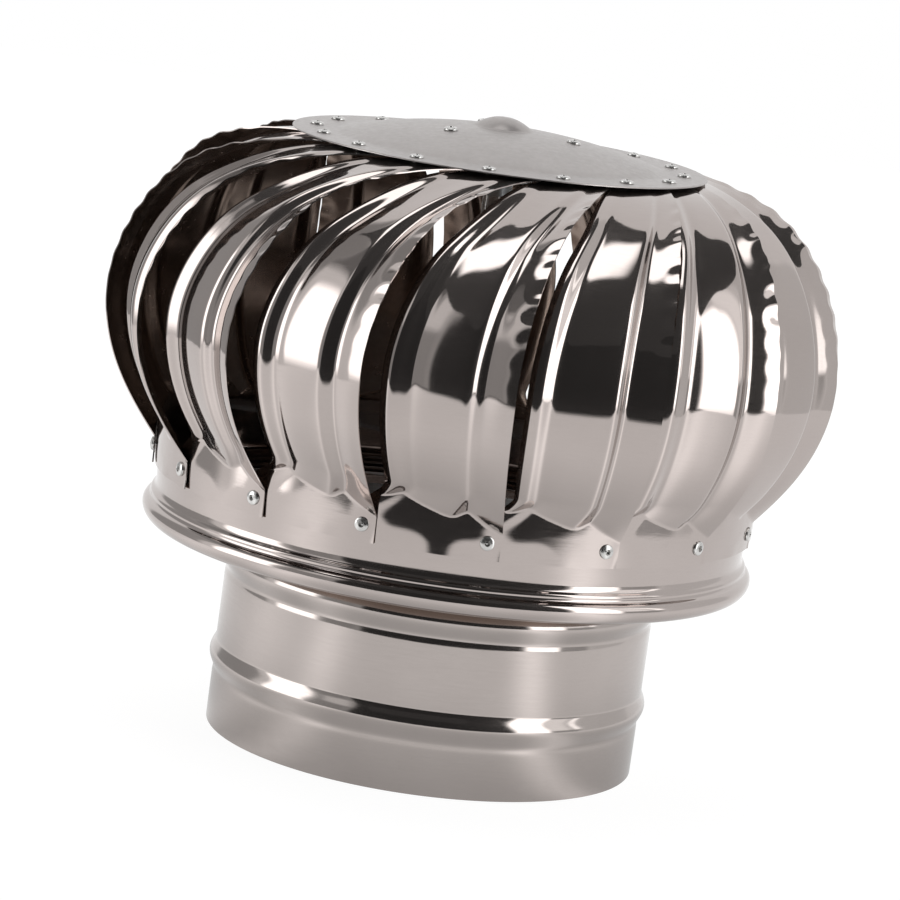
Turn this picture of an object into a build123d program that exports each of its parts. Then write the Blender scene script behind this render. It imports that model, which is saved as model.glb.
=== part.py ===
"""Wind-driven roof turbine ventilator in stainless sheet, for a 200 mm round duct.

The spin axis is +Z. The origin is on that axis, level with the bottom rim of the neck.
The neck, its spider and the shaft stand still. The cap, the sixteen blades, the base ring
and the rotor spider turn together on two ball bearings.
"""
import os
from math import asin, cos, degrees, radians, sin, sqrt

from build123d import *

# Sheet and bar stock
neck_sheet = 0.6
ring_sheet = 0.6
cap_sheet = 0.6
blade_sheet = 0.5
strap_thickness = 2.0
strap_width = 20.0

# Clearances
lap_gap = 0.1            # between stacked sheets
press_gap = 0.02         # bearing rings on their seats
rivet_hole_gap = 0.1     # rivet shank to its holes
running_gap = 0.05       # between the two rings of a bearing, radially

# Neck
neck_radius = 100.0
neck_height = 104.0
lower_bead_height = 32.0
upper_bead_height = 79.8
bead_half_width = 7.2
bead_rise = 2.3
bead_crest_half_width = 2.8

# Base ring of the rotor
ring_neck_gap = 6.5      # open gap round the neck
ring_floor_height = 92.0
ring_inner_lip = 7.5
ring_lip_overhang = 4.6  # how far the lip stands out past the band
ring_lip_height = 9.0
ring_flare_height = 17.0
ring_band_radius = 137.4
ring_band_top = 134.0
ring_lip_roll = 6.0

# Blades
blade_count = 16
tab_bottom = 118.0
tab_top = 129.6
tab_chord_room = 1.1     # lets the flat bands of a tab clear the round ring
tab_step = 1.3           # how far the outer edge of a tab lies over the next one
equator_radius = 170.4
equator_height = 196.0
blade_end_radius = 78.0
blade_gape = 11.0        # opening between one blade's edge and the next blade
blade_span = 20.3        # degrees between the two edges of a blade
tab_extra_span = 7.3     # degrees more at the tab, so that two blades share a rivet
top_extra_span = 3.5
edge_lead = -0.2         # degrees from ring rivet to outer edge at the equator
lower_slant = 0.22       # sideways run of the outer edge for each mm it comes inwards
upper_slant = 0.53
tuck_fade_height = 18.0  # how soon the extra span at the tab is gone
closing_radius = 145.0   # the gape closes from here to the cap
band_edges = (0.0, 0.22, 0.66, 0.755, 1.0)     # creases, as shares of the way to the outer edge
band_relief = (0.0, 2.3, 1.4, 4.4, 0.0)        # how far each crease is pressed in
blade_stations = (0.04, 0.08, 0.16, 0.25, 0.36, 0.47, 0.58, 0.68, 0.78, 0.86, 0.93, 1)

# Cap
cap_radius = 95.5
cap_flange_height = 279.3
cap_flange_width = 19.0
cap_dome_rise = 10.7
cap_button_radius = 14.0
cap_button_rise = 4.7    # above the top of the dome

# Rivets
rivet_radius = 1.6
rivet_head_radius = 3.3
rivet_head_height = 1.1
rivet_shank = 6.5
rivet_sides = 8          # keeps the many small rivets light
ring_rivet_height = 125.7
ring_rivet_angle = -82.71     # where the first ring rivet stands
cap_rivet_setback = 17.85     # degrees from a blade's outer edge to its cap rivet
cap_rivet_inset = 10.8
hub_rivet_radius = 33.5
hub_rivet_angle = -14.2
hub_rivet_count = 3

# Shaft and bearings
shaft_radius = 5.0
shaft_bottom = 46.0
shaft_top_reach = 6.5    # past the upper bearing
bearing_radius = 13.0
bearing_split_radius = 8.0
bearing_height = 8.0
upper_bearing_drop = 22.0     # from the top of the dome to the foot of the upper bearing
lower_bearing_height = 112.0
shaft_fit_gap = 0.02
collar_radius = 7.8
collar_height = 9.0
circlip_radius = 7.6
circlip_height = 1.0

# Bearing housings
housing_wall = 2.5
housing_shoulder_radius = 10.5
housing_shoulder = 2.0
housing_skirt = 1.5
housing_flange_radius = 42.0
housing_flange = 2.0
housing_cone_radius = 24.0

# Spiders
neck_arm_count = 3
neck_arm_angle = 30.0
neck_plate_height = 62.0
rotor_arm_count = 4
rotor_plate_height = 115.0
foot_length = 18.0
foot_gap = 0.1
hub_plate_radius = 24.0

# Nuts on the lower end of the shaft
nut_across_flats = 16.0
nut_height = 8.0

blade_pitch = 360 / blade_count
ring_lip_radius = ring_band_radius + ring_lip_overhang
cap_apex_height = cap_flange_height + cap_dome_rise
cap_button_height = cap_apex_height + cap_button_rise
upper_bearing_height = cap_apex_height - upper_bearing_drop
shaft_top = upper_bearing_height + bearing_height + shaft_top_reach + circlip_height
cap_rivet_radius = cap_radius - cap_rivet_inset
dome_base_radius = cap_radius - cap_flange_width
dome_radius = (dome_base_radius**2 + cap_dome_rise**2) / (2 * cap_dome_rise)
tuck_radius = ring_band_radius + tab_chord_room + blade_sheet
tab_radius = tuck_radius + tab_step
blade_end_height = cap_flange_height - cap_sheet - lap_gap
rivet_seat_radius = tab_radius - 0.15


def section(*lines):
    """Closed outline in the plane through the axis, as a face that revolves about Z."""
    return Plane.XZ * make_face(lines)


def turned(*points):
    """Solid of revolution from the corner points (radius, height) of its section."""
    return revolve(section(Polyline(*points, close=True)), Axis.Z)


def pressed_sheet(line, thickness, side):
    """Sheet that follows a line (radius, height), spun round the axis."""
    outline = line.offset_2d(thickness, kind=Kind.INTERSECTION, side=side, closed=True)
    return revolve(Plane.XZ * make_face(outline), Axis.Z)


def around(shape, count, start=0.0):
    """Copies of a shape, evenly spaced about the axis."""
    return [Rot(0, 0, start + i * 360 / count) * shape for i in range(count)]


def dome_height(radius, below=0.0):
    """Height of the cap's dome, or of a shell that lies below it."""
    shell = dome_radius - below
    return cap_apex_height - dome_radius + sqrt(shell**2 - radius**2)


def rivet():
    """Set rivet pointing up: head seated on z = 0, tapered to its crown, and the shank below."""
    seat = RegularPolygon(rivet_head_radius, rivet_sides)
    crown = Pos(0, 0, rivet_head_height) * RegularPolygon(rivet_radius, rivet_sides)
    shank = extrude(RegularPolygon(rivet_radius, rivet_sides), -rivet_shank)
    return loft([seat, crown]) + shank


def rivet_hole():
    """Cutter for the holes that one rivet passes through."""
    outline = RegularPolygon(rivet_radius + rivet_hole_gap, rivet_sides)
    return extrude(outline, 2 * rivet_head_height) + extrude(outline, -1.5 * rivet_shank)


def at_ring(shape):
    """Stands a rivet or its hole on a blade tab, pointing outwards."""
    return Pos(rivet_seat_radius, 0, ring_rivet_height) * Rot(0, 90, 0) * shape


def edge_angle(radius, slant):
    """Angle from a blade's ring rivet to its outer edge, where the edge is at this radius."""
    return edge_lead + degrees(slant * (equator_radius - radius) / radius)


def at_cap(shape):
    """Stands a rivet or its hole on the cap's flange, at its angle from the ring rivet."""
    turn = edge_angle(cap_rivet_radius, upper_slant) - cap_rivet_setback
    return Rot(0, 0, turn) * Pos(cap_rivet_radius, 0, cap_flange_height) * shape


def at_hub(shape):
    """Stands a rivet or its hole on the dome, square to it."""
    tilt = degrees(asin(hub_rivet_radius / dome_radius))
    return Pos(hub_rivet_radius, 0, dome_height(hub_rivet_radius)) * Rot(0, tilt, 0) * shape


def neck():
    """Fixed collar with its two pressed beads."""
    line = [(neck_radius, 0)]
    for bead in (lower_bead_height, upper_bead_height):
        line += [
            (neck_radius, bead - bead_half_width),
            (neck_radius + bead_rise, bead - bead_crest_half_width),
            (neck_radius + bead_rise, bead + bead_crest_half_width),
            (neck_radius, bead + bead_half_width),
        ]
    line.append((neck_radius, neck_height))
    return pressed_sheet(Polyline(*line), neck_sheet, Side.LEFT)


def base_ring():
    """Rotor ring: floor round the neck, rolled lip and the band that carries the blades."""
    inner = neck_radius + ring_neck_gap
    roll = [
        (
            ring_lip_radius - ring_lip_roll * (1 - sin(radians(turn))),
            ring_floor_height + ring_lip_roll * (1 - cos(radians(turn))),
        )
        for turn in (0, 45, 90)
    ]
    line = Polyline(
        (inner, ring_floor_height + ring_inner_lip),
        (inner, ring_floor_height),
        *roll,
        (ring_lip_radius, ring_floor_height + ring_lip_height),
        (ring_band_radius, ring_floor_height + ring_flare_height),
        (ring_band_radius, ring_band_top),
    )
    ring = pressed_sheet(line, ring_sheet, Side.LEFT)
    return ring - around(at_ring(rivet_hole()), blade_count, ring_rivet_angle)


def smooth(value, low, high):
    """Ramp from 0 at low to 1 at high with flat ends."""
    x = min(max((value - low) / (high - low), 0.0), 1.0)
    return x * x * (3 - 2 * x)


def blade_meridian():
    """Outer surface of the rotor at a blade's outer edge, as (radius, height)."""
    reach = equator_radius - tab_radius
    rise = equator_height - tab_top
    crown = blade_end_height - equator_height
    run = equator_radius - cap_radius
    return Spline(
        (tab_radius, tab_top),
        (tab_radius + 0.40 * reach, tab_top + 0.235 * rise),
        (tab_radius + 0.78 * reach, tab_top + 0.54 * rise),
        (equator_radius, equator_height),
        (equator_radius - 0.059 * run, equator_height + 0.32 * crown),
        (equator_radius - 0.232 * run, equator_height + 0.63 * crown),
        (equator_radius - 0.466 * run, equator_height + 0.839 * crown),
        (equator_radius - 0.74 * run, equator_height + 0.944 * crown),
        (cap_radius, equator_height + 0.989 * crown),
        (blade_end_radius, blade_end_height),
    )


def blade_section(point, normal, straight_end=False):
    """Wire round the sheet at one place along the blade."""
    radius, height = point.X, point.Y
    if height > equator_height:
        open_share = smooth(radius, cap_rivet_radius, closing_radius)
        slant = upper_slant
        extra_span = top_extra_span * (1 - open_share)
        deepest = blade_gape + blade_sheet
        inwards = -normal
    else:
        open_share = 1.0
        slant = lower_slant
        extra_span = tab_extra_span * (1 - smooth(height, tab_top, tab_top + tuck_fade_height))
        deepest = radius - tab_radius
        inwards = Vector(-1, 0)
    lead = edge_angle(radius, slant)
    span = blade_span + extra_span
    outside, inside = [], []
    for t, relief in zip(band_edges, band_relief):
        pressed = open_share * (blade_gape * (1 - t) + relief)
        lapped = (1 - open_share) * tab_step / 2 * (1 - t)
        shift = inwards * min(pressed + lapped, deepest + tab_step * (1 - t))
        angle = radians(lead - (1 - t) * span)
        for row, depth in ((outside, 0.0), (inside, blade_sheet)):
            place = Vector(radius, height) + shift - normal * depth
            away = place.X
            if straight_end:
                away *= cos(radians(span / 2)) / cos(angle - radians(lead - span / 2))
            row.append((away * cos(angle), away * sin(angle), place.Y))
    return Wire.make_polygon(outside + inside[::-1], close=True)


def blade():
    """One blade whose ring rivet is at azimuth 0: a pressed strip with four flat bands."""
    curve = blade_meridian()
    wires = [blade_section(Vector(tab_radius, tab_bottom), Vector(1, 0))]
    wires.append(blade_section(Vector(tab_radius, tab_top), Vector(1, 0)))
    for share in blade_stations:
        tangent = curve.tangent_at(share)
        normal = Vector(tangent.Y, -tangent.X)
        wires.append(blade_section(curve.position_at(share), normal, share == 1))
    strip = Solid.make_loft(wires, ruled=True)
    tab_hole = at_ring(rivet_hole())
    return strip - [tab_hole, Rot(0, 0, -blade_pitch) * tab_hole, at_cap(rivet_hole())]


def cap():
    """Round top plate: flat flange on the blade ends, shallow dome and pressed centre button."""
    button_foot = (cap_button_radius, dome_height(cap_button_radius))
    button_rise = cap_button_height - button_foot[1]
    button = RadiusArc(
        (0, cap_button_height),
        button_foot,
        (cap_button_radius**2 + button_rise**2) / (2 * button_rise),
    )
    middle = (button_foot[0] + dome_base_radius) / 2
    dome = ThreePointArc(
        button_foot, (middle, dome_height(middle)), (dome_base_radius, cap_flange_height)
    )
    flange = Line((dome_base_radius, cap_flange_height), (cap_radius, cap_flange_height))
    plate = pressed_sheet(Wire([button, dome, flange]), cap_sheet, Side.RIGHT)
    rim_holes = around(at_cap(rivet_hole()), blade_count, ring_rivet_angle)
    return plate - rim_holes - around(at_hub(rivet_hole()), hub_rivet_count, hub_rivet_angle)


def shaft():
    """Fixed shaft from the neck spider to the upper bearing."""
    return turned(
        (0, shaft_bottom), (shaft_radius, shaft_bottom), (shaft_radius, shaft_top), (0, shaft_top)
    )


def bearing_rings(inner, outer):
    """The same ring of both bearings."""
    rings = []
    for height in (lower_bearing_height, upper_bearing_height):
        top = height + bearing_height
        rings.append(turned((inner, height), (outer, height), (outer, top), (inner, top)))
    return Compound(children=rings)


def upper_housing():
    """Pressed cup riveted under the dome: its shoulder hangs the rotor on the upper bearing."""
    seat = bearing_radius + press_gap
    wall = seat + housing_wall
    shoulder = upper_bearing_height + bearing_height + press_gap
    under = cap_sheet + lap_gap
    flange_top = dome_height(housing_flange_radius, under)
    cone_top = dome_height(housing_cone_radius, under)
    cup = turned(
        (seat, upper_bearing_height - housing_skirt),
        (wall, upper_bearing_height - housing_skirt),
        (wall, shoulder),
        (housing_cone_radius, cone_top - housing_flange),
        (housing_flange_radius, flange_top - housing_flange),
        (housing_flange_radius, flange_top),
        (housing_cone_radius, cone_top),
        (housing_shoulder_radius, shoulder + housing_shoulder),
        (housing_shoulder_radius, shoulder),
        (seat, shoulder),
    )
    return cup - around(at_hub(rivet_hole()), hub_rivet_count, hub_rivet_angle)


def lower_housing():
    """Turned cup of the lower bearing, with the flange that stands on the rotor spider."""
    seat = bearing_radius + press_gap
    wall = seat + housing_wall
    bottom = lower_bearing_height - press_gap - housing_shoulder
    return turned(
        (housing_shoulder_radius, bottom),
        (wall, bottom),
        (wall, rotor_plate_height + strap_thickness),
        (hub_plate_radius, rotor_plate_height + strap_thickness),
        (hub_plate_radius, rotor_plate_height + 2 * strap_thickness),
        (seat, rotor_plate_height + 2 * strap_thickness),
        (seat, lower_bearing_height - press_gap),
        (housing_shoulder_radius, lower_bearing_height - press_gap),
    )


def spider(arms, start, wall_radius, hole_radius, plate_height, foot):
    """Hub plate and flat arms whose bent feet stand against a round wall."""
    reach = sqrt((wall_radius - foot_gap) ** 2 - (strap_width / 2) ** 2)
    shape = Pos(0, 0, plate_height + strap_thickness / 2) * Cylinder(hub_plate_radius, strap_thickness)
    arm_line = Polyline(
        (0, plate_height), (reach, plate_height), (reach, plate_height + foot)
    )
    side = Side.LEFT if foot > 0 else Side.RIGHT
    outline = arm_line.offset_2d(strap_thickness, kind=Kind.INTERSECTION, side=side, closed=True)
    arm = extrude(Plane.XZ * make_face(outline), strap_width / 2, both=True)
    if foot < 0:
        arm = Pos(0, 0, strap_thickness) * arm
    for copy in around(arm, arms, start):
        shape += copy
    return shape - Pos(0, 0, plate_height) * Cylinder(hole_radius, 4 * strap_thickness)


def neck_spider():
    """Three-armed bracket spot-welded inside the neck, with the shaft through its hub."""
    return spider(
        neck_arm_count,
        neck_arm_angle,
        neck_radius - neck_sheet,
        shaft_radius + shaft_fit_gap,
        neck_plate_height,
        -foot_length,
    )


def rotor_spider():
    """Four-armed bracket that carries the lower bearing and shares four of the ring rivets."""
    bracket = spider(
        rotor_arm_count,
        ring_rivet_angle,
        ring_band_radius - ring_sheet,
        bearing_radius + press_gap + housing_wall + foot_gap,
        rotor_plate_height,
        foot_length,
    )
    return bracket - around(at_ring(rivet_hole()), rotor_arm_count, ring_rivet_angle)


def shaft_ring(radius, bottom, height):
    """Collar or circlip on the shaft."""
    bore = shaft_radius + shaft_fit_gap
    return turned((bore, bottom), (radius, bottom), (radius, bottom + height), (bore, bottom + height))


def shaft_nuts():
    """Two hexagon nuts that clamp the shaft to the neck spider."""
    hexagon = RegularPolygon(nut_across_flats / 2, 6, major_radius=False)
    nut = extrude(hexagon - Circle(shaft_radius + shaft_fit_gap), nut_height)
    lower = Pos(0, 0, neck_plate_height - nut_height) * nut
    upper = Pos(0, 0, neck_plate_height + strap_thickness) * nut
    return Compound(children=[lower, upper])


def ring_rivets():
    """Sixteen rivets through the blade tabs and the band of the base ring."""
    return Compound(children=around(at_ring(rivet()), blade_count, ring_rivet_angle))


def cap_rivets():
    """Sixteen rivets through the cap's flange and the blade ends."""
    return Compound(children=around(at_cap(rivet()), blade_count, ring_rivet_angle))


def hub_rivets():
    """Three rivets through the dome and the flange of the upper housing, square to the dome."""
    return Compound(children=around(at_hub(rivet()), hub_rivet_count, hub_rivet_angle))


def model():
    """Every piece of the ventilator in place, by name."""
    pieces = {
        "neck": neck(),
        "neck_spider": neck_spider(),
        "shaft": shaft(),
        "shaft_nuts": shaft_nuts(),
        "thrust_collar": shaft_ring(collar_radius, upper_bearing_height - collar_height, collar_height),
        "shaft_circlip": shaft_ring(circlip_radius, upper_bearing_height + bearing_height, circlip_height),
        "bearing_inner_rings": bearing_rings(shaft_radius + shaft_fit_gap, bearing_split_radius),
        "bearing_outer_rings": bearing_rings(bearing_split_radius + running_gap, bearing_radius),
        "upper_bearing_housing": upper_housing(),
        "lower_bearing_housing": lower_housing(),
        "rotor_spider": rotor_spider(),
        "base_ring": base_ring(),
        "cap": cap(),
        "ring_rivets": ring_rivets(),
        "cap_rivets": cap_rivets(),
        "hub_rivets": hub_rivets(),
    }
    pattern = blade()
    for i in range(blade_count):
        pieces[f"blade_{i + 1:02d}"] = Rot(0, 0, ring_rivet_angle + i * blade_pitch) * pattern
    return pieces


if __name__ == "__main__":
    os.makedirs("parts", exist_ok=True)
    for name, piece in model().items():
        export_step(piece, f"parts/{name}.step")
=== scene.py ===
import math

import bpy
import numpy as np
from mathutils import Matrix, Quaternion, Vector


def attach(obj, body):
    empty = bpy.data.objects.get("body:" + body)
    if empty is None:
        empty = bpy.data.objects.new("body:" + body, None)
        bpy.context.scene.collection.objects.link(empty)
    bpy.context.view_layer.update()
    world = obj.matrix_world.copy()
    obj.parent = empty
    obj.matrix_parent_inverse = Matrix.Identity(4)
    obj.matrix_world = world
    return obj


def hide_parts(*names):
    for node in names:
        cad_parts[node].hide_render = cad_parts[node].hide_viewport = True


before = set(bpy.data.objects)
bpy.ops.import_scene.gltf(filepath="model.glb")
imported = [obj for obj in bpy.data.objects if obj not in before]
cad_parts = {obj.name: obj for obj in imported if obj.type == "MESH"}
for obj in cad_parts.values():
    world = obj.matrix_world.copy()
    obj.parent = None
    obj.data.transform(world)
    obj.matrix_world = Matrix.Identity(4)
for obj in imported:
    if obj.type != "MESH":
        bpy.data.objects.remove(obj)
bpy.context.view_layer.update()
mm = 0.001
print("frame loaded:", len(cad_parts), "nodes")


def linearColor(hexColor):
    # sRGB hex to the linear values that shaders take
    parts = [int(hexColor[i:i + 2], 16) / 255 for i in (1, 3, 5)]
    return [c / 12.92 if c <= 0.04045 else ((c + 0.055) / 1.055) ** 2.4 for c in parts] + [1.0]


def addNode(tree, kind, settings=None, links=None):
    # settings are the node's own options or fixed sockets, links feed its sockets
    node = tree.nodes.new(kind)
    for name, value in (settings or {}).items():
        if isinstance(name, str) and hasattr(node, name):
            setattr(node, name, value)
        else:
            node.inputs[name].default_value = value
    for name, source in (links or {}).items():
        tree.links.new(source, node.inputs[name])
    return node


def newMaterial(name):
    material = bpy.data.materials.new(name)
    material.use_nodes = True
    material.node_tree.nodes.clear()
    return material, material.node_tree


# The hairline veil of every metal: how much rougher it is than the sheet, and how uneven its share is
hairline = {"rougher": 0.32, "uneven": 0.5}


def metalMaterial(name, look):
    # one metal: tint clouds, uneven polish and fine lines of the sheet's grain
    material, tree = newMaterial(name)
    place = addNode(tree, "ShaderNodeTexCoord")
    clouds = addNode(tree, "ShaderNodeTexNoise", {"Scale": 1000 / look["cloudSize"], "Detail": 3.0},
                     {"Vector": place.outputs["Object"]})
    tint = addNode(tree, "ShaderNodeMix", {"data_type": "RGBA", 6: linearColor(look["dark"]),
                                           7: linearColor(look["light"])}, {0: clouds.outputs["Fac"]})
    stretch = [1000 / size for size in look["grainSize"]]
    grainPlace = addNode(tree, "ShaderNodeMapping", {"Scale": stretch}, {"Vector": place.outputs["Object"]})
    grain = addNode(tree, "ShaderNodeTexNoise", {"Scale": 1.0, "Detail": 4.0, "Roughness": 0.7},
                    {"Vector": grainPlace.outputs["Vector"]})
    polish = addNode(tree, "ShaderNodeMapRange", {"From Min": 0.35, "From Max": 0.75,
                                                  "To Min": look["smooth"], "To Max": look["rough"]},
                     {"Value": grain.outputs["Fac"]})
    lines = addNode(tree, "ShaderNodeBump", {"Strength": look["grainDepth"], "Distance": 0.0002},
                    {"Height": grain.outputs["Fac"]})
    steel = addNode(tree, "ShaderNodeBsdfPrincipled", {"Metallic": 1.0},
                    {"Base Color": tint.outputs[2], "Roughness": polish.outputs["Result"],
                     "Normal": lines.outputs["Normal"]})
    # hairline scratches from polishing and handling veil the mirror with a weak, broad sheen
    veil = addNode(tree, "ShaderNodeBsdfPrincipled",
                   {"Metallic": 1.0, "Roughness": look["rough"] + hairline["rougher"]},
                   {"Base Color": tint.outputs[2]})
    share = addNode(tree, "ShaderNodeMapRange",
                    {"From Min": 0.3, "From Max": 0.8, "To Min": look["veil"] * (1 - hairline["uneven"]),
                     "To Max": look["veil"] * (1 + hairline["uneven"])}, {"Value": grain.outputs["Fac"]})
    skin = addNode(tree, "ShaderNodeMixShader", None,
                   {0: share.outputs[0], 1: steel.outputs["BSDF"], 2: veil.outputs["BSDF"]})
    addNode(tree, "ShaderNodeOutputMaterial", None, {"Surface": skin.outputs[0]})
    return material


# Mirror polished stainless sheet: a warm grey that shows its surroundings crisply, with hairline scuffs
mirrorStainless = metalMaterial("mirrorPolishedStainless", {
    "dark": "#AAA19D", "light": "#BAB1AD", "cloudSize": 60, "grainSize": (9, 9, 0.5),
    "smooth": 0.03, "rough": 0.08, "grainDepth": 0.02, "veil": 0.08})
# The sheet's unpolished back, inside the rotor: rougher than the face, and painted dark brown as shade of the
# hollow it faces
millStainless = metalMaterial("millFinishPaintedShade", {
    "dark": "#85756B", "light": "#98887E", "cloudSize": 40, "grainSize": (6, 6, 6),
    "smooth": 0.18, "rough": 0.30, "grainDepth": 0.04, "veil": 0.2})
# Satin stainless sheet, rolled: the same grey, its reflections softened by grain that runs round the neck
satinStainless = metalMaterial("satinStainless", {
    "dark": "#A59D99", "light": "#B5ADA9", "cloudSize": 45, "grainSize": (14, 14, 1.2),
    "smooth": 0.07, "rough": 0.12, "grainDepth": 0.015, "veil": 0.08})
# Spun stainless cap, matt from its pickled finish: an even pale grey with a soft sheen
capStainless = metalMaterial("pickledStainless", {
    "dark": "#A39E9C", "light": "#B4AFAD", "cloudSize": 35, "grainSize": (3, 3, 3),
    "smooth": 0.28, "rough": 0.40, "grainDepth": 0.06, "veil": 0.2})
# Galvanised strap: cooler and blotchy from its zinc crystals
galvanisedSteel = metalMaterial("galvanisedSteel", {
    "dark": "#8C9092", "light": "#C4C8CA", "cloudSize": 9, "grainSize": (5, 5, 5),
    "smooth": 0.30, "rough": 0.50, "grainDepth": 0.10, "veil": 0.3})
# Ground shaft: bright with fine rings left by the grinding wheel
groundSteel = metalMaterial("groundShaftSteel", {
    "dark": "#A2A09E", "light": "#B4B2B0", "cloudSize": 20, "grainSize": (20, 20, 0.4),
    "smooth": 0.14, "rough": 0.26, "grainDepth": 0.08, "veil": 0.1})
# Zinc plated fasteners: slightly blue and a little dull
zincSteel = metalMaterial("zincPlatedSteel", {
    "dark": "#9DA2A6", "light": "#BCC0C2", "cloudSize": 6, "grainSize": (2, 2, 2),
    "smooth": 0.25, "rough": 0.40, "grainDepth": 0.06, "veil": 0.2})
# Bearing steel: hard, dark and glossy
bearingSteel = metalMaterial("bearingSteel", {
    "dark": "#8B8987", "light": "#9C9A98", "cloudSize": 8, "grainSize": (8, 8, 0.5),
    "smooth": 0.10, "rough": 0.20, "grainDepth": 0.04, "veil": 0.1})
# Aluminium blind rivet: paler than the steel, tumbled
rivetAluminium = metalMaterial("tumbledAluminium", {
    "dark": "#BEBDBB", "light": "#DAD9D7", "cloudSize": 3, "grainSize": (1.5, 1.5, 1.5),
    "smooth": 0.16, "rough": 0.30, "grainDepth": 0.05, "veil": 0.2})
print("materials made")


def meshPiece(name, vertices, faces, material, body, nodes, sharp=40):
    # a new piece in place of its CAD nodes, smooth but for edges sharper than the given angle
    mesh = bpy.data.meshes.new(name)
    mesh.from_pydata([tuple(v) for v in vertices], [], faces)
    mesh.update()
    for face in mesh.polygons:
        face.use_smooth = True
    mesh.set_sharp_from_angle(angle=math.radians(sharp))
    mesh.materials.append(material)
    piece = bpy.data.objects.new(name, mesh)
    bpy.context.scene.collection.objects.link(piece)
    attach(piece, body)
    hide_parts(*nodes)
    return piece


def spun(profile, steps):
    # vertices and faces of a closed outline (radius, height) in mm, spun round the axis
    count = len(profile)
    vertices, faces = [], []
    for i in range(steps):
        angle = 2 * math.pi * i / steps
        for radius, height in profile:
            vertices.append((radius * math.cos(angle) * mm, radius * math.sin(angle) * mm, height * mm))
        for j in range(count):
            a, b = i * count + j, i * count + (j + 1) % count
            c, d = (i + 1) % steps * count + (j + 1) % count, (i + 1) % steps * count + j
            faces.append((a, d, c, b))
    return vertices, faces


def sheetOutline(line, thickness):
    # closed outline of a sheet whose outer skin is the line and whose metal lies to the line's left
    line = np.array(line, float)
    ahead = np.gradient(line, axis=0)
    ahead /= np.linalg.norm(ahead, axis=1)[:, None]
    left = np.stack([-ahead[:, 1], ahead[:, 0]], axis=1)
    return [tuple(p) for p in line] + [tuple(p) for p in (line + left * thickness)[::-1]]


def arcPoints(center, radius, start, end, steps):
    angles = np.radians(np.linspace(start, end, steps))
    return [(center[0] + radius * math.cos(a), center[1] + radius * math.sin(a)) for a in angles]


def ramp(value, low, high):
    x = np.clip((np.asarray(value, float) - low) / (high - low), 0, 1)
    return x * x * (3 - 2 * x)


def naturalCurve(points, places=None, count=0):
    # natural cubic through the points, read at the given places or evenly along its length
    points = np.array(points, float)
    if places is None:
        knots = np.concatenate([[0], np.cumsum(np.linalg.norm(np.diff(points, axis=0), axis=1))])
        places, values = np.linspace(0, knots[-1], count), points
    else:
        knots, values = points[:, 0], points[:, 1:]
    gaps, last = np.diff(knots), len(knots) - 1
    system, wanted = np.eye(last + 1), np.zeros_like(values)
    for i in range(1, last):
        system[i, i - 1:i + 2] = gaps[i - 1], 2 * (gaps[i - 1] + gaps[i]), gaps[i]
        wanted[i] = 6 * ((values[i + 1] - values[i]) / gaps[i] - (values[i] - values[i - 1]) / gaps[i - 1])
    bend = np.linalg.solve(system, wanted)
    k = np.clip(np.searchsorted(knots, places, side="right") - 1, 0, last - 1)
    gap = gaps[k][:, None]
    a = (knots[k + 1] - places)[:, None] / gap
    b = 1 - a
    straight = a * values[k] + b * values[k + 1]
    return straight + ((a ** 3 - a) * bend[k] + (b ** 3 - b) * bend[k + 1]) * gap ** 2 / 6


# Sizes in mm, as in all the dictionaries of the ventilator's own pieces
neck = {"radius": 100.0, "height": 104.0, "sheet": 0.6, "beads": (32.0, 79.8), "beadHalfWidth": 6.9,
        "beadRise": 2.3, "beadShape": 1.5, "grooves": (0.2, 0.34), "grooveDrop": 7.7, "grooveWidth": 1.8,
        "rows": 150, "steps": 256}


def neckPiece():
    rows = np.linspace(1.5, neck["height"] - 1, neck["rows"])
    heights = np.concatenate([[0, 0.4], rows, [neck["height"]]])
    line = []
    for height in heights:
        radius = neck["radius"]
        for bead, groove in zip(neck["beads"], neck["grooves"]):
            offset = abs(height - bead) / neck["beadHalfWidth"]
            if offset < 1:
                radius += neck["beadRise"] * math.cos(math.pi / 2 * offset) ** neck["beadShape"]
            # the roller leaves a shallow groove below each bead
            below = (bead - neck["grooveDrop"] - height) / neck["grooveWidth"]
            radius -= groove * math.exp(-below ** 2)
        line.append((radius, height))
    vertices, faces = spun(sheetOutline(line, neck["sheet"]), neck["steps"])
    return meshPiece("neckCollar", vertices, faces, satinStainless, "base", ["neck"])


ring = {"inner": 106.5, "innerLip": 7.5, "innerRound": 2.0, "floor": 92.0, "shadedWithin": 134.0, "sheet": 0.6,
        "steps": 320}
# The ring's visible side from the foot of its lip to the top of its band, as (radius, height)
ringSide = [(135.5, 92.0), (138.2, 92.7), (140.4, 94.3), (141.7, 96.6), (141.95, 98.8), (141.3, 100.7),
            (140.1, 101.8), (139.1, 102.5), (138.75, 103.3), (138.8, 104.3), (138.6, 105.2),
            (137.6, 106.2), (136.9, 107.6), (136.72, 109.5), (136.85, 113.0), (137.05, 118.0),
            (137.25, 126.0), (137.4, 134.0)]


def ringPiece():
    inner, floor, bend = ring["inner"], ring["floor"], ring["innerRound"]
    line = [(inner, floor + ring["innerLip"]), (inner, floor + 2 * bend)]
    line += arcPoints((inner + bend, floor + bend), bend, 180, 270, 6)
    line += [(r, floor) for r in np.linspace(inner + 3 * bend, ringSide[0][0] - 2 * bend, 5)]
    line += [tuple(p) for p in naturalCurve(ringSide, count=110)]
    vertices, faces = spun(sheetOutline(line, ring["sheet"]), ring["steps"])
    piece = meshPiece("baseRing", vertices, faces, mirrorStainless, "turbine", ["base_ring"])
    # the sheet's dull side shows on the floor, above and below, painted dark brown as the shade under the lip
    # and inside the rotor
    piece.data.materials.append(millStainless)
    for face in piece.data.polygons:
        if math.hypot(face.center.x, face.center.y) < ring["shadedWithin"] * mm:
            face.material_index = 1
    return piece


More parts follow.
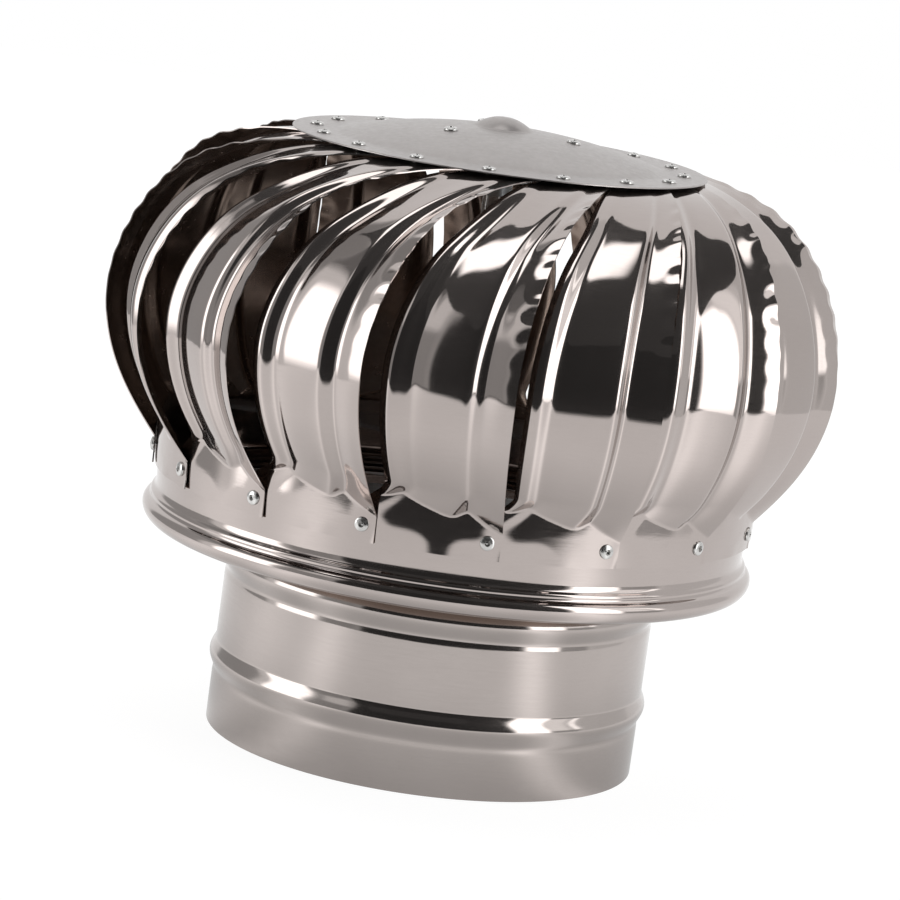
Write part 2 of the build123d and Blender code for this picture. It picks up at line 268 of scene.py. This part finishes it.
cap = {"radius": 95.5, "flange": 279.3, "domeRadius": 76.5, "apex": 290.0, "foldInside": 6.0,
       "foldOutside": 3.0, "buttonRadius": 14.0, "buttonTop": 294.7, "buttonShape": (2.3, 1.15), "sheet": 0.6,
       "steps": 256}
domeRise = cap["apex"] - cap["flange"]
domeCurve = (cap["domeRadius"] ** 2 + domeRise ** 2) / (2 * domeRise)


def domeHeight(radius):
    # height in mm of the dome's skin, which the flange and the button blend into
    dome = cap["apex"] - domeCurve + math.sqrt(domeCurve ** 2 - min(radius, cap["domeRadius"]) ** 2)
    edge = ramp(radius, cap["domeRadius"] - cap["foldInside"], cap["domeRadius"] + cap["foldOutside"])
    dome += (cap["flange"] - dome) * float(edge)
    rise = cap["buttonTop"] - cap["apex"]
    flat, steep = cap["buttonShape"]
    return dome + rise * max(0.0, 1 - (radius / cap["buttonRadius"]) ** flat) ** steep


def capPiece():
    # rings lie closer on the button and where the dome meets the flange
    radii = np.concatenate([[0.02], np.linspace(0.7, 17, 26), np.linspace(19, 74, 26),
                            np.linspace(75, 94.6, 20)])
    line = [(r, domeHeight(r)) for r in radii]
    line += [(cap["radius"] - 0.2, cap["flange"] - 0.05), (cap["radius"], cap["flange"] - 0.3)]
    under = [(r, h - cap["sheet"]) for r, h in line[:-1]]
    outline = line + [(cap["radius"], cap["flange"] - cap["sheet"])] + under[::-1]
    vertices, faces = spun(outline[::-1], cap["steps"])
    return meshPiece("roundCap", vertices, faces, capStainless, "turbine", ["cap"])


# Angles in degrees: each blade is a strip from its tab on the base ring to the cap
blade = {"count": 16, "firstAngle": -82.71, "sheet": 0.5, "tabBottom": 118.0, "tabTop": 129.6,
         "tabRadius": 140.3, "tabStep": 1.3, "equatorRadius": 170.4, "equatorHeight": 196.0,
         "endRadius": 78.0, "endHeight": 278.6, "ringRivetHeight": 125.7, "capRivetRadius": 84.7,
         "closingRadius": 143.0, "span": 20.3, "tabExtraSpan": 7.3, "topExtraSpan": 3.5, "fadeHeight": 18.0,
         "lead": -0.2, "lowerSlant": 0.22, "upperSlant": 0.53, "creaseTop": 152.0, "creaseSoft": 0.35,
         "tabRows": 15, "creaseRows": 49, "along": 110, "across": 64}
# Crimps and dents: depths in mm, the heights between which each begins and ends, the edge's share crimped
crimp = {"pitch": 11.0, "depth": 0.8, "begins": (185, 240), "ends": (272, 277), "edge": (0.86, 1.0)}
dent = {"depth": 0.035, "waves": 7, "begins": (128, 150), "ends": (268, 277)}
# The tab leans out beside its rivets and stands upright between them, shown by places across the blade
tab = {"slope": 0.055, "middle": 0.60, "middleWidth": 0.10, "leftSide": (0.12, 0.30),
       "rightSide": (0.80, 0.97), "uprightFrom": (122, 131), "leanEnds": (130, 142), "top": 150, "levels": 65}
# Shares of the way out and up from tab to equator, and of the way in and up from there to the cap's rim
lowerBulge = ((0.4, 0.235), (0.78, 0.54))
upperBulge = ((0.059, 0.32), (0.232, 0.63), (0.466, 0.839), (0.74, 0.944), (1.0, 0.989))
# How deep the pressed sheet lies behind its outer edge, from the inner edge (0) to the outer (1)
pressLine = [(0.0, 11.0), (0.04, 9.6), (0.085, 8.9), (0.15, 10.0), (0.215, 10.9), (0.27, 10.2), (0.45, 7.6),
             (0.62, 5.3), (0.665, 5.1), (0.71, 6.2), (0.755, 7.1), (0.80, 6.2), (0.90, 2.9), (1.0, 0.0)]


def bladeMeridian(count):
    reach = blade["equatorRadius"] - blade["tabRadius"]
    rise = blade["equatorHeight"] - blade["tabTop"]
    crown = blade["endHeight"] - blade["equatorHeight"]
    run = blade["equatorRadius"] - cap["radius"]
    equator = (blade["equatorRadius"], blade["equatorHeight"])
    points = [(blade["tabRadius"], blade["tabTop"])]
    points += [(blade["tabRadius"] + out * reach, blade["tabTop"] + up * rise) for out, up in lowerBulge]
    points.append(equator)
    points += [(equator[0] - back * run, equator[1] + up * crown) for back, up in upperBulge]
    points.append((blade["endRadius"], blade["endHeight"]))
    return naturalCurve(points, count=count)


def tabLean(height, t):
    # mm that the tab stands out from upright: it slopes outwards beside its rivets, less between them
    levels = np.linspace(blade["tabBottom"], tab["top"], tab["levels"])
    wide = ramp(t, *tab["leftSide"]) * (1 - ramp(t, *tab["rightSide"]))
    between = np.exp(-((t - tab["middle"]) / tab["middleWidth"]) ** 2)
    upright = np.clip(between + wide * ramp(levels[:, None], *tab["uprightFrom"]), 0, 1)
    slope = tab["slope"] * (1 - upright) * (1 - ramp(levels[:, None], *tab["leanEnds"]))
    out = np.cumsum(slope, axis=0) * (levels[1] - levels[0])
    out -= out[int(np.searchsorted(levels, blade["ringRivetHeight"]))]
    place = np.clip((height[:, 0] - levels[0]) / (levels[1] - levels[0]), 0, len(levels) - 1.001)
    whole = place.astype(int)
    part = (place - whole)[:, None]
    return out[whole] * (1 - part) + out[whole + 1] * part


def bladeSkin(seed):
    # outer skin of one blade, as grids of radius and angle and height in mm and radians
    rng = np.random.default_rng(seed)
    tabRows = np.linspace(blade["tabBottom"], blade["tabTop"], blade["tabRows"] + 1)[:-1]
    fine = bladeMeridian(1200)
    # rows lie close together round the crease above the tab
    closeRows = int(np.searchsorted(fine[:, 1], blade["creaseTop"]))
    pick = np.concatenate([np.linspace(0, closeRows, blade["creaseRows"] + 1).round().astype(int)[:-1],
                           np.linspace(closeRows, len(fine) - 1, blade["along"]).round().astype(int)])
    line = np.concatenate([[(blade["tabRadius"], h) for h in tabRows], fine[pick]])
    ahead = np.gradient(line, axis=0)
    ahead /= np.linalg.norm(ahead, axis=1)[:, None]
    t = np.linspace(0, 1, blade["across"])[None, :]
    press = naturalCurve(pressLine, places=t[0])[:, 0][None, :]
    radius, height = line[:, :1], line[:, 1:]
    upper = height > blade["equatorHeight"]
    close = ramp(radius, blade["capRivetRadius"], blade["closingRadius"])
    # above the equator the sheet sinks square to itself, below it straight towards the axis
    inR = np.where(upper, -ahead[:, 1:], -1.0)
    inZ = np.where(upper, ahead[:, :1], 0.0)
    share = np.where(upper, close, 1.0)
    depth = press * share + (1 - share) * blade["tabStep"] / 2 * (1 - t)
    tabDepth = radius - blade["tabRadius"] + blade["tabStep"] * (1 - t) - tabLean(height, t)
    # the crease where the pressed sheet meets the upright tab is rounded
    soft = np.clip(0.5 + (depth - tabDepth) / (2 * blade["creaseSoft"]), 0, 1)
    creased = depth + (tabDepth - depth) * soft - blade["creaseSoft"] * soft * (1 - soft)
    depth = np.where(upper, depth, creased)
    length = np.concatenate([[0], np.cumsum(np.linalg.norm(np.diff(line, axis=0), axis=1))])[:, None]
    # crimps along the outer edge, deepest on the shoulder of the rotor
    crimpFade = ramp(height, *crimp["begins"]) * (1 - ramp(height, *crimp["ends"]))
    wave = 0.5 - 0.5 * np.cos(2 * math.pi * length / crimp["pitch"] + rng.uniform(0, 6))
    depth = depth + crimp["depth"] * crimpFade * wave * ramp(t, *crimp["edge"])
    # soft dents, different on each blade, that bend its reflections
    dents = np.zeros_like(depth)
    for _ in range(dent["waves"]):
        waveLong, waveWide = rng.uniform(0.02, 0.14), rng.uniform(-9, 9)
        dents += rng.uniform(0.3, 1.0) * np.sin(waveLong * length + waveWide * t + rng.uniform(0, 6))
    dentFade = ramp(height, *dent["begins"]) * (1 - ramp(height, *dent["ends"]))
    depth = depth + dent["depth"] * (1 + dents / 4) * dentFade
    tabFade = 1 - ramp(height, blade["tabTop"], blade["tabTop"] + blade["fadeHeight"])
    extra = np.where(upper, blade["topExtraSpan"] * (1 - close), blade["tabExtraSpan"] * tabFade)
    slant = np.where(upper, blade["upperSlant"], blade["lowerSlant"])
    lead = blade["lead"] + np.degrees(slant * (blade["equatorRadius"] - radius) / radius)
    angle = np.radians(lead - (1 - t) * (blade["span"] + extra))
    return radius + inR * depth, angle, height + inZ * depth


def bladePiece(index):
    radius, angle, height = bladeSkin(index + 1)
    rows, columns = radius.shape
    angle = angle + math.radians(blade["firstAngle"] + index * 360 / blade["count"])
    outer = np.stack([radius * np.cos(angle), radius * np.sin(angle), height], axis=2)
    across = np.gradient(outer, axis=1)
    along = np.gradient(outer, axis=0)
    normal = np.cross(across, along)
    normal /= np.linalg.norm(normal, axis=2)[:, :, None]
    inner = outer - normal * blade["sheet"]
    vertices = np.concatenate([outer.reshape(-1, 3), inner.reshape(-1, 3)]) * mm
    faces, shift = [], rows * columns
    for i in range(rows - 1):
        for j in range(columns - 1):
            a = i * columns + j
            faces.append((a, a + 1, a + columns + 1, a + columns))
            faces.append((shift + a, shift + a + columns, shift + a + columns + 1, shift + a + 1))
    rim = [i * columns for i in range(rows)]
    rim += [(rows - 1) * columns + j for j in range(1, columns)]
    rim += [i * columns + columns - 1 for i in range(rows - 2, -1, -1)]
    rim += [j for j in range(columns - 2, 0, -1)]
    for a, b in zip(rim, rim[1:] + rim[:1]):
        faces.append((a, b, shift + b, shift + a))
    number = f"{index + 1:02d}"
    piece = meshPiece(f"rotorBlade{number}", vertices, faces, mirrorStainless, "turbine",
                      [f"blade_{number}"])
    # the side that faces into the rotor isn't polished, and is painted dark brown as the shade inside the
    # rotor
    piece.data.materials.append(millStainless)
    for face in piece.data.polygons:
        if min(face.vertices) >= shift:
            face.material_index = 1
    return piece


# Blind rivets: a low domed head with the dark hole of its broken mandrel
rivet = {"headRadius": 3.3, "headHeight": 1.5, "brimHeight": 0.45, "holeRadius": 1.2, "holeDepth": 1.2,
         "shank": 1.6, "shankShown": 1.2, "steps": 24, "ringSeat": 140.15, "capAngle": 12.67,
         "hubRadius": 33.5, "hubAngle": -14.2, "hubCount": 3}


def rivetPlaces(group):
    # seat and outward direction of each rivet of a group, in mm
    places = []
    if group == "ring":
        for i in range(blade["count"]):
            a = math.radians(blade["firstAngle"] + i * 360 / blade["count"])
            outwards = np.array([math.cos(a), math.sin(a), 0])
            level = np.array([0, 0, blade["ringRivetHeight"]])
            places.append((outwards * rivet["ringSeat"] + level, outwards))
    elif group == "cap":
        for i in range(blade["count"]):
            a = math.radians(blade["firstAngle"] + rivet["capAngle"] + i * 360 / blade["count"])
            far = blade["capRivetRadius"]
            seat = np.array([math.cos(a) * far, math.sin(a) * far, cap["flange"]])
            places.append((seat, np.array([0, 0, 1.0])))
    else:
        far = rivet["hubRadius"]
        lean = math.asin(far / domeCurve)
        for i in range(rivet["hubCount"]):
            a = math.radians(rivet["hubAngle"] + i * 360 / rivet["hubCount"])
            outwards = np.array([math.sin(lean) * math.cos(a), math.sin(lean) * math.sin(a), math.cos(lean)])
            places.append((np.array([math.cos(a) * far, math.sin(a) * far, domeHeight(far)]), outwards))
    return places


def rivetGroup(group, name, node):
    head, tall, brim = rivet["headRadius"], rivet["headHeight"], rivet["brimHeight"]
    shank, foot = rivet["shank"], -rivet["shankShown"]
    hole, bottom = rivet["holeRadius"], tall - rivet["holeDepth"]
    # from the shank's end round the brim and over the head to the bottom of the mandrel's hole
    profile = [(0.05, foot), (shank, foot), (shank, 0), (head - 0.1, 0), (head, 0.25), (head - 0.15, 0.5)]
    profile += [(head * math.cos(a), brim + (tall - brim) * math.sin(a))
                for a in np.radians(np.linspace(20, 66, 7))]
    profile += [(hole + 0.12, tall - 0.03), (hole, tall - 0.2), (hole - 0.1, bottom), (0.05, bottom + 0.3)]
    flat, rings = spun(profile, rivet["steps"])
    flat = np.array(flat)
    vertices, faces = [], []
    for seat, outwards in rivetPlaces(group):
        side = np.cross([0, 0, 1.0] if abs(outwards[2]) < 0.9 else [1.0, 0, 0], outwards)
        side /= np.linalg.norm(side)
        axes = np.stack([side, np.cross(outwards, side), outwards])
        start = len(vertices)
        vertices += list(flat @ axes + seat * mm)
        faces += [tuple(start + v for v in face) for face in rings]
    return meshPiece(name, vertices, faces, rivetAluminium, "turbine", [node], sharp=35)


neckPiece()
ringPiece()
capPiece()
print("neck, base ring and cap made")
for number in range(blade["count"]):
    bladePiece(number)
print("blades made")
rivetGroup("ring", "tabRivets", "ring_rivets")
rivetGroup("cap", "capRimRivets", "cap_rivets")
rivetGroup("hub", "capHubRivets", "hub_rivets")
print("rivets made")

# The pieces that stay as CAD, with their finishes
cadFinish = {"neck_spider": galvanisedSteel, "rotor_spider": galvanisedSteel, "shaft": groundSteel,
             "shaft_nuts": zincSteel, "thrust_collar": zincSteel, "shaft_circlip": bearingSteel,
             "bearing_inner_rings": bearingSteel, "bearing_outer_rings": bearingSteel,
             "upper_bearing_housing": galvanisedSteel, "lower_bearing_housing": galvanisedSteel}
for node, material in cadFinish.items():
    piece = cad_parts[node]
    piece.data.materials.clear()
    piece.data.materials.append(material)
print("CAD pieces finished")

# Studio in metres: a white table, and round it the cloths, grey cards and softboxes that the steel mirrors
table = {"left": -0.72, "right": 0.78, "front": -0.66, "back": 3.0, "frontFade": 0.09, "frontGlow": 0.06,
         "paper": 0.92, "shade": 0.16, "mirroredPaper": 1.04, "footShadowGlow": 0.60, "foot": (0.06, 0.34)}
screen = {"distance": 2.4, "middle": 0.2, "lowest": -40, "highest": 58, "from": -190, "to": 172, "step": 2.0}
ceiling = {"left": -1.1, "right": 0.95, "front": -2.5, "back": 0.65, "height": 1.5, "glow": 0.06}
worldLight = 0.6  # how bright the room itself is to the object


def stagePiece(name, vertices, faces, material, hidden):
    mesh = bpy.data.meshes.new(name)
    mesh.from_pydata(vertices, [], faces)
    mesh.materials.append(material)
    piece = bpy.data.objects.new(name, mesh)
    bpy.context.scene.collection.objects.link(piece)
    piece.visible_camera = not hidden
    return piece


def lookedAt(tree):
    # the camera's rays alone, and 1 for all rays that look: the camera's and those by metal or glass
    seen = addNode(tree, "ShaderNodeLightPath")
    either = addNode(tree, "ShaderNodeMath", {"operation": "ADD"},
                     {0: seen.outputs["Is Camera Ray"], 1: seen.outputs["Is Glossy Ray"]})
    looking = addNode(tree, "ShaderNodeMath", {"operation": "ADD", "use_clamp": True},
                      {0: either.outputs[0], 1: seen.outputs["Is Transmission Ray"]})
    return seen.outputs["Is Camera Ray"], looking.outputs[0]


def tableMaterial():
    # white paper, to the camera a plain white with a trace of the object's shadow, to the steel as painted
    material, tree = newMaterial("whiteTable")
    byCamera, looking = lookedAt(tree)
    painted = addNode(tree, "ShaderNodeAttribute", {"attribute_name": "glow"})
    level = addNode(tree, "ShaderNodeMix", {3: table["paper"]}, {0: byCamera, 2: painted.outputs["Fac"]})
    paper = addNode(tree, "ShaderNodeBsdfDiffuse", {"Color": linearColor("#F4F4F4")})
    shade = addNode(tree, "ShaderNodeMath", {"operation": "MULTIPLY", 1: table["shade"]}, {0: byCamera})
    faint = addNode(tree, "ShaderNodeBsdfDiffuse", None, {"Color": shade.outputs[0]})
    glow = addNode(tree, "ShaderNodeEmission", {"Color": linearColor("#FFFFFF")},
                   {"Strength": level.outputs[0]})
    white = addNode(tree, "ShaderNodeAddShader", None, {0: faint.outputs[0], 1: glow.outputs[0]})
    mixed = addNode(tree, "ShaderNodeMixShader", None,
                    {0: looking, 1: paper.outputs[0], 2: white.outputs[0]})
    addNode(tree, "ShaderNodeOutputMaterial", None, {"Surface": mixed.outputs[0]})
    return material


# Cards in degrees: direction from and to, angle above the horizon from and to, how bright each is, and how
# soft its edges are
cards = {
    "frontCloth": (-128, -42, -60, 66, 0.035, 3), "leftFrontCard": (-150, -128, -60, 46, 0.40, 6),
    "leftFrontBright": (-146, -130, 24, 44, 0.95, 6), "leftUpperCloth": (-190, -120, 46, 57, 0.10, 4),
    "leftShadeCard": (-190, -150, 36, 48, 0.20, 4), "leftBackCard": (130, 172, -60, 30, 0.45, 6),
    "leftBackUpperCard": (130, 172, 30, 50, 0.35, 6), "rightFlank": (-20, -8, 4, 62, 1.5, 5),
    "rightLowCard": (-22, -2, -60, 4, 0.50, 5), "rightStrip": (-5, -1, 4, 40, 2.4, 2),
    "rightBackCard": (0, 40, -60, 62, 0.82, 6),
}


def window(value, low, high, soft):
    return ramp(value, low - soft / 2, low + soft / 2) * (1 - ramp(value, high - soft / 2, high + soft / 2))


def paintGlow(piece, glow):
    # stores how bright each point of a stage piece is, for its material to read
    for value, item in zip(np.ravel(glow), piece.data.attributes.new("glow", "FLOAT", "POINT").data):
        item.value = value
    return piece


def gridFaces(rows, columns):
    return [(i * columns + j, (i + 1) * columns + j, (i + 1) * columns + j + 1, i * columns + j + 1)
            for i in range(rows - 1) for j in range(columns - 1)]


# Pools of light painted on the paper where the softboxes would throw them: direction, half width in degrees,
# extra brightness
pools = ((-42, 9, 0.65), (-138, 10, 0.45), (-176, 16, 0.25))


def whiteTable():
    x = np.linspace(table["left"], table["right"], 76)
    y = np.concatenate([np.linspace(table["front"], 0.5, 100), [1.0, 2.0, table["back"]]])
    x, y = np.meshgrid(x, y, indexing="ij")
    direction = np.degrees(np.arctan2(y, x))
    glow = np.ones_like(x) * table["mirroredPaper"]
    for middle, half, extra in pools:
        away = (direction - middle + 180) % 360 - 180
        glow += extra * np.exp(-(away / half) ** 2)
    # painted shadow: the paper is painted darker round the object's foot, where the object keeps light off it
    glow *= table["footShadowGlow"] + (1 - table["footShadowGlow"]) * ramp(np.hypot(x, y), *table["foot"])
    # painted shade: the paper is painted darker towards its front edge, as the steel sees it
    lit = ramp(y, table["front"], table["front"] + table["frontFade"])
    glow = table["frontGlow"] + (glow - table["frontGlow"]) * lit
    points = np.stack([x, y, 0 * x], axis=2).reshape(-1, 3)
    faces = [face[::-1] for face in gridFaces(*x.shape)]
    return paintGlow(stagePiece("table", [tuple(p) for p in points], faces, tableMaterial(), False), glow)


def screenRound():
    # the cards as one screen bent round the object, each blending softly into the next
    directions = np.arange(screen["from"], screen["to"], screen["step"])
    rises = np.arange(screen["lowest"], screen["highest"] + 1, screen["step"])
    a, rise = np.meshgrid(directions, rises, indexing="ij")
    glow = np.ones_like(a)
    for fromAngle, toAngle, fromRise, toRise, level, soft in cards.values():
        # a card may reach past the place where the directions start again
        inside = sum(window(a + turn, fromAngle, toAngle, soft) for turn in (0, -360, 360))
        glow += (level - glow) * np.clip(inside, 0, 1) * window(rise, fromRise, toRise, soft)
    far = screen["distance"]
    height = screen["middle"] + far * np.tan(np.radians(rise))
    points = np.stack([far * np.cos(np.radians(a)), far * np.sin(np.radians(a)), height], axis=2)
    material, tree = newMaterial("cardScreen")
    painted = addNode(tree, "ShaderNodeAttribute", {"attribute_name": "glow"})
    cloth = addNode(tree, "ShaderNodeEmission", {"Color": linearColor("#FFFFFF")},
                    {"Strength": painted.outputs["Fac"]})
    addNode(tree, "ShaderNodeOutputMaterial", None, {"Surface": cloth.outputs[0]})
    points = [tuple(p) for p in points.reshape(-1, 3)]
    return paintGlow(stagePiece("cardScreen", points, gridFaces(*a.shape), material, True), glow)


def ceilingCloth():
    # dark cloth over the object, as bright as its glow says, where 1 is white
    material, tree = newMaterial("ceilingCloth")
    cloth = addNode(tree, "ShaderNodeEmission",
                    {"Color": linearColor("#FFFFFF"), "Strength": ceiling["glow"]})
    addNode(tree, "ShaderNodeOutputMaterial", None, {"Surface": cloth.outputs[0]})
    corners = [(ceiling["left"], ceiling["front"]), (ceiling["right"], ceiling["front"]),
               (ceiling["right"], ceiling["back"]), (ceiling["left"], ceiling["back"])]
    points = [(x, y, ceiling["height"]) for x, y in corners]
    return stagePiece("ceilingCloth", points, [(0, 1, 2, 3)], material, True)


whiteTable()
ceilingCloth()
screenRound()

# Softboxes in metres: middle, size, how bright the steel sees them and what they face
softboxes = {
    "overheadBox": {"at": (-0.30, -0.04, 1.48), "size": (1.15, 0.85), "glow": 2.6, "aim": (-0.30, -0.04, 0)},
    "rightBox": {"at": (1.97, -1.18, 1.2), "size": (0.95, 3.7), "glow": 2.3, "aim": (0, 0, 1.2)},
    "leftBox": {"at": (-2.24, -0.54, 0.55), "size": (1.30, 2.1), "glow": 2.0, "aim": (0, 0, 0.55)},
}
softRim = 0.16  # share of a softbox over which its brightness falls off towards the rim
for name, box in softboxes.items():
    lamp = bpy.data.lights.new(name, "AREA")
    lamp.shape = "RECTANGLE"
    lamp.size, lamp.size_y = box["size"]
    lamp.energy = box["glow"] * math.pi * box["size"][0] * box["size"][1]
    lamp.use_nodes = True
    tree = lamp.node_tree
    tree.nodes.clear()
    place = addNode(tree, "ShaderNodeNewGeometry")
    split = addNode(tree, "ShaderNodeSeparateXYZ", None, {0: place.outputs["Parametric"]})
    fades = []
    for axis in ("X", "Y"):
        away = addNode(tree, "ShaderNodeMath", {"operation": "SUBTRACT", 1: 0.5}, {0: split.outputs[axis]})
        away = addNode(tree, "ShaderNodeMath", {"operation": "ABSOLUTE"}, {0: away.outputs[0]})
        fade = addNode(tree, "ShaderNodeMapRange",
                       {"interpolation_type": "SMOOTHSTEP", "From Min": 0.5, "From Max": 0.5 - softRim},
                       {"Value": away.outputs[0]})
        fades.append(fade.outputs[0])
    both = addNode(tree, "ShaderNodeMath", {"operation": "MULTIPLY"}, {0: fades[0], 1: fades[1]})
    cloth = addNode(tree, "ShaderNodeEmission", {"Color": linearColor("#FFFFFF")},
                    {"Strength": both.outputs[0]})
    addNode(tree, "ShaderNodeOutputLight", None, {"Surface": cloth.outputs[0]})
    holder = bpy.data.objects.new(name, lamp)
    holder.location = box["at"]
    towards = Vector(box["aim"]) - Vector(box["at"])
    holder.rotation_euler = towards.to_track_quat("-Z", "Y").to_euler()
    holder.visible_camera = False
    bpy.context.scene.collection.objects.link(holder)

world = bpy.data.worlds.new("whiteStudio")
bpy.context.scene.world = world
world.use_nodes = True
tree = world.node_tree
tree.nodes.clear()
strength = addNode(tree, "ShaderNodeMapRange", {"To Min": worldLight, "To Max": 1.0},
                   {"Value": lookedAt(tree)[1]})
glow = addNode(tree, "ShaderNodeBackground", {"Color": linearColor("#FFFFFF")},
               {"Strength": strength.outputs[0]})
addNode(tree, "ShaderNodeOutputWorld", None, {"Surface": glow.outputs[0]})
print("studio made")

# Camera where the photograph was taken from, in metres; the photograph leans by the roll
view = {"at": (0.0, -1.8404, 0.475), "aim": (-0.00388, 0.0006, 0.13825), "roll": 7.94, "focal": 161.75}
camera = bpy.data.objects.new("photoCamera", bpy.data.cameras.new("photoCamera"))
bpy.context.scene.collection.objects.link(camera)
camera.location = view["at"]
aim = Vector(view["aim"]) - Vector(view["at"])
look = aim.to_track_quat("-Z", "Y") @ Quaternion((0, 0, 1), math.radians(view["roll"]))
camera.rotation_mode = "QUATERNION"
camera.rotation_quaternion = look
camera.data.lens = view["focal"]
camera.data.sensor_width = 36
camera.data.clip_start, camera.data.clip_end = 0.05, 60
bpy.context.scene.camera = camera
bpy.context.scene.view_settings.view_transform = "Standard"
